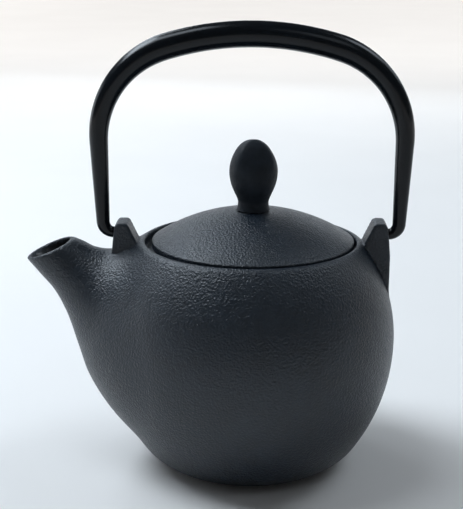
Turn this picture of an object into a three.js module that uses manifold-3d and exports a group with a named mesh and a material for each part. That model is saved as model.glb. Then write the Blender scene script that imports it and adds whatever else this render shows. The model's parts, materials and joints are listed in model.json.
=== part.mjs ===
// A cast-iron teapot with a swinging bail handle, a domed lid and a steel infuser basket.
// Millimetres, +Z up. The origin is the centre of the flat base and the spout points to -X.
import * as THREE from 'three';
import { mergeVertices } from 'three/addons/utils/BufferGeometryUtils.js';
import Module from 'manifold-3d';

const wasm = await Module();
wasm.setup();

// Clearance between two pieces that touch.
const GAP = 0.3;

// Vessel: a flat base, a rounded foot, a full belly and a rounder shoulder.
const WALL = 3.5;
const FLOOR = 4.5;
const BASE_R = 30;
const BELLY_Z = 60;
const BELLY_R = 66.4;
const BELLY_ARC = 86.7;
const SHOULDER_ARC = 71.4;
const LIP_Z = 105.3;
const LIP_TOP_R = 48.9;
const MOUTH_R = 48.1;

// The seat inside the mouth that the infuser hangs on.
const SEAT_Z = 101;
const SEAT_R = 43;
const SEAT_DEPTH = 3.5;
const NECK_BOTTOM_Z = 93;

// Spout: pairs of points [x, z] on its underside and its top, with its width there,
// from the mouth to the root inside the vessel.
const SPOUT_SECTIONS = [
  { low: [-102.5, 96.3], high: [-81.0, 106.2], width: 24 },
  { low: [-96.0, 88.5], high: [-76.5, 104.3], width: 25 },
  { low: [-89.6, 80.6], high: [-71.4, 101.5], width: 28 },
  { low: [-84.2, 69.5], high: [-65.0, 100.5], width: 34 },
  { low: [-79.6, 55.5], high: [-57.5, 100.2], width: 45 },
  { low: [-74.5, 41.0], high: [-49.0, 98.0], width: 60 },
  { low: [-65.5, 26.0], high: [-40.0, 90.0], width: 76 },
  { low: [-55.2, 14.0], high: [-30.0, 80.0], width: 78 },
  { low: [-42.0, 5.5], high: [-18.0, 72.0], width: 76 },
];
const SPOUT_LIP = 1.9;
const SPOUT_WALL = 3.4;

// Lugs: two ears on the shoulder that carry the bail's hooks.
const LUG_OUTLINE = [
  [44, 80], [51.2, 104.6], [55.7, 113.6], [60.2, 113.6], [61.6, 111.8], [63, 99], [63, 80],
];
const LUG_WIDTH = 13;
const HINGE_Z = 108.2;
const LUG_HOLE_R = 2.8;
const LUG_HOLE_END_X = 55.6;
const REAR_LUG_RISE = 0.8;

// Bail: one bar, thick over the top and tapering down to the hooks.
const BAIL_TOP_Z = 197.6;
const BAIL_TOP_ARC = 130;
const BAIL_CORNER_ARC = 42.7;
const BAIL_CORNER_START = 17;
const BAIL_LIMB_LEAN = 1.7;
const BAIL_HOOK_ARC = 5;
const BAIL_TIP_X = 56.4;
const BAIL_TOP_D = 11.7;
const BAIL_FOOT_D = 5.9;
const BAIL_HOOK_D = 5;

// Lid: a domed plate with a locating skirt. It rests a little off centre in the wide mouth.
const LID_X = 1;
const LID_R = 46.2;
const LID_BOTTOM_Z = 102.4;
const LID_EDGE_Z = 105.5;
const LID_APEX_Z = 119.3;
const LID_WALL = 3;
const SKIRT_R = 38.4;
const SKIRT_DEPTH = 3.5;
const STUD_HOLE_R = 3;

// Knob: a bud on a short neck, held by a stud, a washer and a nut under the lid.
const KNOB_FOOT_R = 8;
const STUD_R = 2.5;
const STUD_END_Z = 109.5;
const BUD_OUTLINE = [
  [7.6, 119.9], [6.9, 120.9], [6.5, 122.4], [7.3, 125.2], [8.8, 128.1], [10.0, 131.2], [10.8, 135.4],
  [10.7, 139.2], [9.9, 142.6], [8.3, 145.8], [6.2, 148.6], [3.4, 150.5],
];
const KNOB_TOP_Z = 151.3;

// Infuser: a rolled rim with a collar, a tapered mesh wall and a mesh floor in a base ring.
const RIM_R = 45;
const RIM_THICK = 0.8;
const COLLAR_R = 42.3;
const COLLAR_INNER_R = 41.5;
const COLLAR_DEPTH = 4.8;
const BASKET_TOP_R = 41.2;
const BASKET_BOTTOM_R = 38.2;
const BASKET_BOTTOM_Z = 52;
const BASKET_WALL = 0.6;
const BASKET_FLOOR = 0.6;

const AROUND_VESSEL = 52;
const AROUND_SPOUT = 28;
const SPOUT_STEPS = 16;
const AROUND_LID = 48;
const AROUND_BASKET = 48;
const AROUND_SMALL = 24;

// ---------- making solids ----------

// Shared vertices merged and collapsed triangles dropped.
function weld(geometry) {
  const bare = geometry.clone();
  bare.deleteAttribute('normal');
  bare.deleteAttribute('uv');
  const merged = mergeVertices(bare, 1e-4);
  const corners = merged.index.array;
  const kept = [];
  for (let i = 0; i < corners.length; i += 3) {
    const [a, b, c] = corners.slice(i, i + 3);
    if (a !== b && b !== c && c !== a) kept.push(a, b, c);
  }
  merged.setIndex(kept);
  return merged;
}

function toSolid(geometry) {
  const welded = weld(geometry);
  const vertProperties = new Float32Array(welded.attributes.position.array);
  const triVerts = new Uint32Array(welded.index.array);
  return new wasm.Manifold(new wasm.Mesh({ numProp: 3, vertProperties, triVerts }));
}

function fromSolid(solid) {
  const mesh = solid.getMesh();
  const geometry = new THREE.BufferGeometry();
  geometry.setAttribute('position', new THREE.BufferAttribute(new Float32Array(mesh.vertProperties), 3));
  geometry.setIndex(new THREE.BufferAttribute(new Uint32Array(mesh.triVerts), 1));
  geometry.computeVertexNormals();
  return geometry;
}

// A solid of revolution about Z from points [radius, z], listed from the bottom of the axis outwards.
function revolve(outline, around) {
  const points = outline.map(([r, z]) => new THREE.Vector2(r, z));
  return new THREE.LatheGeometry(points, around).rotateX(Math.PI / 2);
}

// A ring: the outline closes on itself and stays off the axis.
function revolveRing(outline, around) {
  return revolve([...outline, outline[0]], around);
}

// Points [radius, z] on an arc about (cx, cz), from one height to another on the outer side.
function arcBetween(cx, cz, radius, fromZ, toZ, steps) {
  const start = Math.asin((fromZ - cz) / radius);
  const end = Math.asin((toZ - cz) / radius);
  const points = [];
  for (let i = 0; i <= steps; i += 1) {
    const angle = start + ((end - start) * i) / steps;
    points.push([cx + radius * Math.cos(angle), cz + radius * Math.sin(angle)]);
  }
  return points;
}

// A bar of elliptical sections. Each ring has a centre, two half-axes as vectors, and they run in order.
function loft(rings, around) {
  const steps = rings.length - 1;
  const geometry = new THREE.CylinderGeometry(1, 1, 1, around, steps);
  const position = geometry.attributes.position;
  const moved = new THREE.Vector3();
  for (let i = 0; i < position.count; i += 1) {
    const ring = rings[Math.round((0.5 - position.getY(i)) * steps)];
    moved.copy(ring.centre);
    moved.addScaledVector(ring.across, position.getX(i));
    moved.addScaledVector(ring.along, position.getZ(i));
    position.setXYZ(i, moved.x, moved.y, moved.z);
  }
  return geometry;
}

// ---------- pot body ----------

const bellyCentre = BELLY_R - BELLY_ARC;
const shoulderCentre = BELLY_R - SHOULDER_ARC;
// The foot's round is tangent to the base plane and to the belly's arc.
const footOffset = BASE_R - bellyCentre;
const FOOT_ARC = (BELLY_ARC ** 2 - footOffset ** 2 - BELLY_Z ** 2) / (2 * (BELLY_ARC - BELLY_Z));

// The vessel's outline from the base up to a height on the shoulder, moved inwards by inset.
function vesselOutline(inset, topZ) {
  const reach = BELLY_ARC / (BELLY_ARC - FOOT_ARC);
  const tangentZ = BELLY_Z + (FOOT_ARC - BELLY_Z) * reach + inset * (1 - FOOT_ARC / BELLY_Z);
  const footRadius = FOOT_ARC - inset;
  return [
    ...arcBetween(BASE_R, FOOT_ARC, footRadius, inset, tangentZ, 5),
    ...arcBetween(bellyCentre, BELLY_Z, BELLY_ARC - inset, tangentZ, BELLY_Z, 7).slice(1),
    ...arcBetween(shoulderCentre, BELLY_Z, SHOULDER_ARC - inset, BELLY_Z, topZ, 8).slice(1),
  ];
}

function vesselSolid() {
  const shoulder = vesselOutline(0, LIP_Z - 0.5);
  return toSolid(revolve([[0, 0], ...shoulder, [LIP_TOP_R, LIP_Z], [0, LIP_Z]], AROUND_VESSEL));
}

function cavitySolid() {
  const inside = vesselOutline(WALL, NECK_BOTTOM_Z).map(([r, z]) => [r, Math.max(z, FLOOR)]);
  const neck = [
    [SEAT_R, SEAT_Z - SEAT_DEPTH], [SEAT_R, SEAT_Z], [MOUTH_R, SEAT_Z], [MOUTH_R, LIP_Z + 10], [0, LIP_Z + 10],
  ];
  return toSolid(revolve([[0, FLOOR], ...inside, ...neck], AROUND_VESSEL));
}

// Rings of the spout, each moved inwards by an amount that grows from the lip to the root.
function spoutRings(lipInset, wallInset, steps) {
  const curveOf = (pick) => new THREE.CatmullRomCurve3(SPOUT_SECTIONS.map(pick));
  const low = curveOf(({ low: [x, z] }) => new THREE.Vector3(x, 0, z));
  const high = curveOf(({ high: [x, z] }) => new THREE.Vector3(x, 0, z));
  const width = curveOf(({ width: w }) => new THREE.Vector3(w, 0, 0));
  const rings = [];
  for (let i = 0; i <= steps; i += 1) {
    const t = i / steps;
    const inset = THREE.MathUtils.lerp(lipInset, wallInset, Math.min(1, 5 * t));
    const bottom = low.getPoint(t);
    const top = high.getPoint(t);
    const centre = bottom.clone().add(top).multiplyScalar(0.5);
    const along = top.clone().sub(bottom).multiplyScalar(0.5);
    along.setLength(along.length() - inset);
    const across = new THREE.Vector3(0, width.getPoint(t).x / 2 - inset, 0);
    rings.push({ centre, along, across });
  }
  return rings;
}

// The bore starts just outside the mouth, so that it cuts right through the lip.
function spoutBore() {
  const rings = spoutRings(SPOUT_LIP, SPOUT_WALL, SPOUT_STEPS);
  const [mouth, next] = rings;
  const outward = mouth.centre.clone().sub(next.centre).setLength(2);
  const outside = { ...mouth, centre: mouth.centre.clone().add(outward) };
  return toSolid(loft([outside, ...rings.slice(0, -1)], AROUND_SPOUT - 8));
}

function lugSolid(side) {
  const rise = side > 0 ? REAR_LUG_RISE : 0;
  const outline = new THREE.Shape(LUG_OUTLINE.map(([x, z]) => new THREE.Vector2(x, z > SEAT_Z ? z + rise : z)));
  const slab = new THREE.ExtrudeGeometry(outline, { depth: LUG_WIDTH, bevelEnabled: false });
  slab.rotateX(Math.PI / 2).translate(0, LUG_WIDTH / 2, 0);
  if (side < 0) slab.rotateZ(Math.PI);
  return toSolid(slab);
}

// A blind hole, drilled in from the lug's outer face.
function lugHole(side) {
  const length = 15;
  const drill = new THREE.CylinderGeometry(LUG_HOLE_R, LUG_HOLE_R, length, 16).rotateZ(Math.PI / 2);
  return toSolid(drill.translate(side * (LUG_HOLE_END_X + length / 2), 0, HINGE_Z));
}

function potBody() {
  const lugs = [-1, 1].map(lugSolid);
  const holes = [-1, 1].map(lugHole);
  const cast = [toSolid(loft(spoutRings(0, 0, SPOUT_STEPS), AROUND_SPOUT)), ...lugs]
    .reduce((whole, piece) => whole.add(piece), vesselSolid());
  return fromSolid([cavitySolid(), spoutBore(), ...holes].reduce((left, cut) => left.subtract(cut), cast));
}

// ---------- bail handle ----------

// One half of the bail's centre line as [x, z, diameter], from the hook's tip to the middle of the top.
function bailHalf() {
  const lean = THREE.MathUtils.degToRad(BAIL_LIMB_LEAN);
  const topAngle = Math.PI / 2 - THREE.MathUtils.degToRad(BAIL_CORNER_START);
  const topCentreZ = BAIL_TOP_Z - BAIL_TOP_ARC;
  const reach = BAIL_TOP_ARC - BAIL_CORNER_ARC;
  const corner = [reach * Math.cos(topAngle), topCentreZ + reach * Math.sin(topAngle)];
  const onArc = ([cx, cz], radius, angle) => [cx + radius * Math.cos(angle), cz + radius * Math.sin(angle)];
  const limbTop = onArc(corner, BAIL_CORNER_ARC, -lean);
  const limbFootZ = HINGE_Z + BAIL_HOOK_ARC * (1 - Math.sin(lean));
  const limbFoot = [limbTop[0] - (limbTop[1] - limbFootZ) * Math.tan(lean), limbFootZ];
  const hook = [limbFoot[0] - BAIL_HOOK_ARC * Math.cos(lean), HINGE_Z + BAIL_HOOK_ARC];
  const line = [];
  line.push([BAIL_TIP_X, HINGE_Z], [(BAIL_TIP_X + hook[0]) / 2, HINGE_Z]);
  for (let i = 0; i <= 5; i += 1) {
    line.push(onArc(hook, BAIL_HOOK_ARC, -Math.PI / 2 + ((Math.PI / 2 - lean) * i) / 5));
  }
  for (let i = 1; i <= 4; i += 1) {
    line.push([0, 1].map((k) => THREE.MathUtils.lerp(limbFoot[k], limbTop[k], i / 4)));
  }
  for (let i = 1; i <= 9; i += 1) {
    line.push(onArc(corner, BAIL_CORNER_ARC, -lean + ((topAngle + lean) * i) / 9));
  }
  for (let i = 1; i <= 4; i += 1) {
    line.push(onArc([0, topCentreZ], BAIL_TOP_ARC, topAngle + ((Math.PI / 2 - topAngle) * i) / 4));
  }
  return line;
}

function bailHandle() {
  const half = bailHalf();
  const otherHalf = half.slice(0, -1).reverse().map(([x, z]) => [-x, z]);
  const line = [...half, ...otherHalf].map(([x, z]) => new THREE.Vector3(x, 0, z));
  const lengths = [0];
  for (let i = 1; i < line.length; i += 1) {
    lengths.push(lengths[i - 1] + line[i].distanceTo(line[i - 1]));
  }
  const total = lengths[lengths.length - 1];
  const rings = line.map((centre, i) => {
    const before = line[Math.max(i - 1, 0)];
    const after = line[Math.min(i + 1, line.length - 1)];
    const tangent = after.clone().sub(before).normalize();
    const fromTip = Math.min(lengths[i], total - lengths[i]);
    const diameter = bailDiameter(fromTip);
    const outward = new THREE.Vector3(-tangent.z, 0, tangent.x);
    return {
      centre,
      along: outward.multiplyScalar(diameter / 2),
      across: new THREE.Vector3(0, diameter / 2, 0),
    };
  });
  return loft(rings, 14);
}

// The bail's diameter at a distance from a hook's tip: a thin hook, then a long even taper.
function bailDiameter(fromTip) {
  const hookEnd = 6;
  const footStart = 12;
  const topStart = 104;
  if (fromTip < footStart) {
    const t = THREE.MathUtils.smoothstep(fromTip, hookEnd, footStart);
    return THREE.MathUtils.lerp(BAIL_HOOK_D, BAIL_FOOT_D, t);
  }
  const t = Math.min(1, (fromTip - footStart) / (topStart - footStart));
  return THREE.MathUtils.lerp(BAIL_FOOT_D, BAIL_TOP_D, t);
}

// ---------- lid and knob ----------

// Points [radius, z] down a dome from its crown to its edge.
function domeDown(apexZ, edgeR, edgeZ, crownR, steps) {
  const rise = apexZ - edgeZ;
  const sphere = (edgeR ** 2 + rise ** 2) / (2 * rise);
  const heightAt = (r) => apexZ - sphere + Math.sqrt(sphere ** 2 - r ** 2);
  const points = [];
  for (let i = 0; i <= steps; i += 1) {
    const r = THREE.MathUtils.lerp(crownR, edgeR, i / steps);
    points.push([r, heightAt(r)]);
  }
  return points;
}

const SEAT_FLAT_R = 8.6;
const underDome = domeDown(LID_APEX_Z - LID_WALL, SKIRT_R - LID_WALL, LID_BOTTOM_Z + 5.5, SEAT_FLAT_R, 4);
const overDome = domeDown(LID_APEX_Z, LID_R, LID_EDGE_Z, SEAT_FLAT_R, 7);
const KNOB_SEAT_Z = overDome[0][1];
const NUT_SEAT_Z = underDome[0][1];

function lid() {
  const skirtInner = SKIRT_R - LID_WALL;
  return revolveRing([
    [STUD_HOLE_R, NUT_SEAT_Z], ...underDome,
    [skirtInner, LID_BOTTOM_Z - SKIRT_DEPTH], [SKIRT_R, LID_BOTTOM_Z - SKIRT_DEPTH], [SKIRT_R, LID_BOTTOM_Z],
    [LID_R - 0.6, LID_BOTTOM_Z], [LID_R, LID_BOTTOM_Z + 0.6], ...[...overDome].reverse(),
    [STUD_HOLE_R, KNOB_SEAT_Z],
  ], AROUND_LID);
}

function lidKnob() {
  const foot = KNOB_SEAT_Z + GAP;
  return revolve([
    [0, STUD_END_Z], [STUD_R - 0.5, STUD_END_Z], [STUD_R, STUD_END_Z + 0.5], [STUD_R, foot],
    [KNOB_FOOT_R, foot], ...BUD_OUTLINE, [0, KNOB_TOP_Z],
  ], 24);
}

const WASHER_THICK = 1;
const WASHER_R = 6.5;
const NUT_FLATS = 8;
const NUT_THICK = 4;

function knobWasher() {
  const top = NUT_SEAT_Z - GAP;
  const hole = STUD_R + GAP;
  return revolveRing([
    [hole, top - WASHER_THICK], [WASHER_R, top - WASHER_THICK], [WASHER_R, top], [hole, top],
  ], AROUND_SMALL);
}

function knobNut() {
  const top = NUT_SEAT_Z - WASHER_THICK - 2 * GAP;
  const corner = NUT_FLATS / Math.sqrt(3);
  const hexagon = new THREE.Shape();
  for (let i = 0; i < 6; i += 1) {
    const angle = (i * Math.PI) / 3;
    hexagon[i ? 'lineTo' : 'moveTo'](corner * Math.cos(angle), corner * Math.sin(angle));
  }
  hexagon.closePath();
  hexagon.holes.push(new THREE.Path().absarc(0, 0, STUD_R + GAP, 0, 2 * Math.PI, true));
  const nut = new THREE.ExtrudeGeometry(hexagon, { depth: NUT_THICK, bevelEnabled: false, curveSegments: 16 });
  return nut.translate(0, 0, top - NUT_THICK);
}

// ---------- infuser ----------

function infuserRim() {
  const bottom = SEAT_Z + GAP;
  const top = bottom + RIM_THICK;
  const collarBottom = bottom - COLLAR_DEPTH;
  return revolveRing([
    [COLLAR_INNER_R, collarBottom], [COLLAR_R, collarBottom], [COLLAR_R, bottom],
    [RIM_R, bottom], [RIM_R, top], [COLLAR_INNER_R, top],
  ], AROUND_BASKET);
}

function infuserWall() {
  const top = SEAT_Z;
  return revolveRing([
    [BASKET_BOTTOM_R - BASKET_WALL, BASKET_BOTTOM_Z], [BASKET_BOTTOM_R, BASKET_BOTTOM_Z],
    [BASKET_TOP_R, top], [BASKET_TOP_R - BASKET_WALL, top],
  ], AROUND_BASKET);
}

const BASE_RING_THICK = 0.8;
const BASE_RING_HEIGHT = 5;
const BASE_RING_LEDGE = 4;

function infuserBaseRing() {
  const top = BASKET_BOTTOM_Z - GAP;
  const bottom = top - BASE_RING_THICK;
  const inner = BASKET_BOTTOM_R + GAP + 0.3;
  const outer = inner + BASE_RING_THICK;
  const ledge = inner - BASE_RING_LEDGE;
  return revolveRing([
    [ledge, bottom], [outer, bottom], [outer, bottom + BASE_RING_HEIGHT], [inner, bottom + BASE_RING_HEIGHT],
    [inner, top], [ledge, top],
  ], AROUND_BASKET);
}

function infuserFloor() {
  const radius = BASKET_BOTTOM_R - BASKET_WALL - GAP;
  return revolve([
    [0, BASKET_BOTTOM_Z], [radius, BASKET_BOTTOM_Z], [radius, BASKET_BOTTOM_Z + BASKET_FLOOR],
    [0, BASKET_BOTTOM_Z + BASKET_FLOOR],
  ], AROUND_BASKET);
}

// ---------- assembly ----------

const castIron = { color: 0x2c3036, roughness: 0.6, metalness: 0.3 };
const blackPaint = { color: 0x1b1c1e, roughness: 0.3, metalness: 0.1 };
const darkIron = { color: 0x1d2024, roughness: 0.45, metalness: 0.2 };
const stainless = { color: 0xb9bcbf, roughness: 0.3, metalness: 0.9 };

const teapot = new THREE.Group();

function place(name, geometry, finish, x = 0) {
  const mesh = new THREE.Mesh(geometry, new THREE.MeshStandardMaterial(finish));
  mesh.name = name;
  mesh.position.x = x;
  teapot.add(mesh);
}

place('pot_body', potBody(), castIron);
place('bail_handle', bailHandle(), blackPaint);
place('lid', lid(), castIron, LID_X);
place('lid_knob', lidKnob(), darkIron, LID_X);
place('knob_washer', knobWasher(), stainless, LID_X);
place('knob_nut', knobNut(), stainless, LID_X);
place('infuser_rim', infuserRim(), stainless);
place('infuser_wall', infuserWall(), stainless);
place('infuser_base_ring', infuserBaseRing(), stainless);
place('infuser_floor', infuserFloor(), stainless);

export default teapot;
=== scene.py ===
"""A cast-iron teapot on a pale floor: pot, bail handle, domed lid with a bud knob, and a steel infuser.

Shapes are worked out in millimetres and become metres in add_piece(). +Z is up and the spout points to -X.
Lamps, floor and camera are in metres.
"""

import json
import math

import bpy
import numpy as np
from mathutils import Matrix, Vector


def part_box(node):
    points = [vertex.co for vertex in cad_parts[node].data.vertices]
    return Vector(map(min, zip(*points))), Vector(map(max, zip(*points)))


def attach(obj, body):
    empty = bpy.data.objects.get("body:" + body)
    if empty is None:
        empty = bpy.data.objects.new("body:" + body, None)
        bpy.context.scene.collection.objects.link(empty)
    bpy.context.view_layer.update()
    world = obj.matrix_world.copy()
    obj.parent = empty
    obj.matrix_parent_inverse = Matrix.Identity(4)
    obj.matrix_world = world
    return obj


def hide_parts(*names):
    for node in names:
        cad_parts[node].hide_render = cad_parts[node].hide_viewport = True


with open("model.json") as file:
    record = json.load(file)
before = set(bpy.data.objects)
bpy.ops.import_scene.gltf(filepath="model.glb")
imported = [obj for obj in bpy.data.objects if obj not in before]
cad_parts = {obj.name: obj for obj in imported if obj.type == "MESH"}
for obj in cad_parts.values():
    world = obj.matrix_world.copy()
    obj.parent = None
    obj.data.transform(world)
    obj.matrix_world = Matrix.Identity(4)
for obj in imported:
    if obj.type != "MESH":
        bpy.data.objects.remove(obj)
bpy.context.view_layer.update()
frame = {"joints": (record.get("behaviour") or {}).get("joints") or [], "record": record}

MM = 0.001
HINGE = next(joint for joint in frame["joints"] if joint["name"] == "bail_swing")
SLOT_COLOURS = {finish["slot"]: finish["base_color"] for finish in frame["record"]["materials"]}


def cad_box(node):
    """Lowest and highest corner of a CAD node in millimetres."""
    low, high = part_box(node)
    return np.array(low) / MM, np.array(high) / MM


POT_LOW, POT_HIGH = cad_box("pot_body")
BAIL_LOW, BAIL_HIGH = cad_box("bail_handle")
LID_LOW, LID_HIGH = cad_box("lid")
KNOB_LOW, KNOB_HIGH = cad_box("lid_knob")
RIM_LOW, RIM_HIGH = cad_box("infuser_rim")
WALL_LOW, WALL_HIGH = cad_box("infuser_wall")
BASE_RING_LOW, BASE_RING_HIGH = cad_box("infuser_base_ring")
FLOOR_LOW, FLOOR_HIGH = cad_box("infuser_floor")
WASHER_LOW, WASHER_HIGH = cad_box("knob_washer")
NUT_LOW, NUT_HIGH = cad_box("knob_nut")

# ---------- meshes ----------


def add_piece(name, points, faces, body, material, smooth=True):
    """A mesh object from points in millimetres, riding on a body and finished as a slot."""
    mesh = bpy.data.meshes.new(name)
    mesh.from_pydata((np.asarray(points) * MM).tolist(), [], [list(face) for face in faces])
    mesh.update()
    if smooth:
        mesh.shade_smooth()
    mesh.materials.append(material)
    piece = bpy.data.objects.new(name, mesh)
    bpy.context.scene.collection.objects.link(piece)
    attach(piece, body)
    return piece


def grid_faces(rows, columns, closed_rows=False):
    """Quads over a grid of points whose columns wrap round; its rows may wrap too."""
    last = rows if closed_rows else rows - 1
    row = np.repeat(np.arange(last), columns)
    column = np.tile(np.arange(columns), last)
    up = (row + 1) % rows
    beside = (column + 1) % columns
    return np.stack(
        [row * columns + column, row * columns + beside, up * columns + beside, up * columns + column], 1
    )


def rounded(outline, steps=5):
    """Rounds the corners of a closed outline given as (x, z, radius)."""
    # A round takes at most this share of a side, so that two of them never meet.
    most = 0.49
    result = []
    for i, (x, z, radius) in enumerate(outline):
        here = np.array([x, z], float)
        if radius == 0:
            result.append(here)
            continue
        back = np.array(outline[i - 1][:2], float) - here
        ahead = np.array(outline[(i + 1) % len(outline)][:2], float) - here
        back_length, ahead_length = np.linalg.norm(back), np.linalg.norm(ahead)
        back, ahead = back / back_length, ahead / ahead_length
        half_angle = math.acos(np.clip(back @ ahead, -1, 1)) / 2
        reach = min(radius / math.tan(half_angle), most * back_length, most * ahead_length)
        start, end = here + back * reach, here + ahead * reach
        for k in range(steps + 1):
            t = k / steps
            result.append((1 - t) ** 2 * start + 2 * t * (1 - t) * here + t**2 * end)
    return np.array(result)


def revolve(outline, around, centre_x=0.0):
    """Points and faces of a closed outline (radius, z) turned about an upright axis."""
    angle = np.linspace(0, 2 * math.pi, around, endpoint=False)
    radius, z = outline[:, :1], outline[:, 1:]
    points = np.stack(
        [centre_x + radius * np.cos(angle), radius * np.sin(angle), np.repeat(z, around, 1)], -1
    ).reshape(-1, 3)
    return points, grid_faces(len(outline), around, closed_rows=True).tolist()


# ---------- pot body: one casting, held as a distance field ----------

# The vessel's outline is three tangent arcs (foot, belly, shoulder) over a flat base.
WALL = 3.5
FLOOR_THICKNESS = 4.5
BASE_RADIUS = 30
BELLY_Z = 60
BELLY_RADIUS = float(POT_HIGH[1])
BELLY_ARC = 86.7
SHOULDER_ARC = 71.4
LIP_Z = 105.3
MOUTH_RADIUS = 48.1
SEAT_Z = 101
SEAT_RADIUS = 43
SEAT_DEPTH = 3.5

BELLY_CENTRE = BELLY_RADIUS - BELLY_ARC
SHOULDER_CENTRE = BELLY_RADIUS - SHOULDER_ARC
FOOT_OFFSET = BASE_RADIUS - BELLY_CENTRE
FOOT_ARC = (BELLY_ARC**2 - FOOT_OFFSET**2 - BELLY_Z**2) / (2 * (BELLY_ARC - BELLY_Z))

# The spout's sections from the mouth to the root: (x, z) on its underside, (x, z) on its top, and its width.
SPOUT_LOW = [
    (-102.5, 96.3), (-96, 88.5), (-89.6, 80.6), (-84.2, 69.5), (-79.6, 55.5), (-74.5, 41), (-65, 26),
    (-53.6, 14), (-40, 5),
]
SPOUT_HIGH = [
    (-81.2, 105.2), (-76.5, 103.4), (-71.4, 100.8), (-65, 99.6), (-57.5, 99.1), (-49, 97), (-40, 90),
    (-30, 80), (-18, 72),
]
SPOUT_WIDTH = [24, 25, 28, 34, 45, 60, 74, 78, 76]
SPOUT_LIP = 1.9
SPOUT_WALL = 3.4

# Corners of a lug as (x, z, rounding). The rear lug is stretched upwards from a level.
LUG_CORNERS = [
    (44, 80, 0), (51.3, 104.4, 0), (55.6, 113.6, 2.2), (60.4, 113.5, 1), (61.6, 111.6, 1), (63, 99, 6),
    (63, 80, 0),
]
LUG_HALF_WIDTH = 6.5
LUG_HOLE_RADIUS = 2.8
LUG_HOLE_END_X = 55.6
REAR_LUG_RISE = 0.8
REAR_LUG_STRETCH_Z = 96
REAR_LUG_STRETCH_HEIGHT = 10
HINGE_Z = HINGE["pos_m"][2] / MM

# Widths over which the casting's parts run into each other. The spout's grows from the foot to the top.
SPOUT_FOOT_BLEND = 2
SPOUT_TOP_BLEND = 12
SPOUT_BLEND_Z = 8
SPOUT_BLEND_HEIGHT = 50
BORE_BLEND = 8
LUG_BLEND = 0.9

# Widths of its eased edges.
LIP_EDGE = 1.8
SPOUT_MOUTH_EDGE = 1.2
HOLLOW_EDGE = 0.6
LUG_EDGE = 0.6
LUG_HOLE_EDGE = 0.5

# The cut over the lip is level as far as the lip is wide, then slopes up to clear the spout.
LIP_WIDTH = 3
LIP_CUT_SLOPE = 0.6

# The enamel covers the hollow up to a little below the seat and the spout's mouth.
ENAMEL_REACH = 0.4
ENAMEL_BELOW_SEAT = 0.6
ENAMEL_BELOW_MOUTH = 1.5
MOUTH_SLOPE = 0.46

# The grid that the casting's surface is found on, round its CAD box.
GRID_STEP = 0.84
GRID_MARGIN = 2.5


def smooth_min(a, b, blend):
    """The lesser of two distances, on a round where they come within blend of each other."""
    reach = np.maximum(blend - np.abs(a - b), 0) / blend
    return np.minimum(a, b) - reach * reach * blend / 4


def smooth_max(a, b, blend):
    """The greater of two distances, rounded in the same way."""
    return -smooth_min(-a, -b, blend)


def smooth_step(t):
    """A soft rise from 0 to 1 as t goes from 0 to 1."""
    t = np.clip(t, 0, 1)
    return t * t * (3 - 2 * t)


def through(points, count):
    """A Catmull-Rom curve through the points, as count samples."""
    points = np.asarray(points, float)
    if points.ndim == 1:
        points = points[:, None]
    padded = np.vstack([2 * points[0] - points[1], points, 2 * points[-1] - points[-2]])
    place = np.linspace(0, len(points) - 1, count)
    i = np.minimum(place.astype(int), len(points) - 2)
    t = (place - i)[:, None]
    a, b, c, d = (padded[i + k] for k in range(4))
    return 0.5 * (2 * b + (c - a) * t + (2 * a - 5 * b + 4 * c - d) * t**2 + (3 * b - a - 3 * c + d) * t**3)


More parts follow.
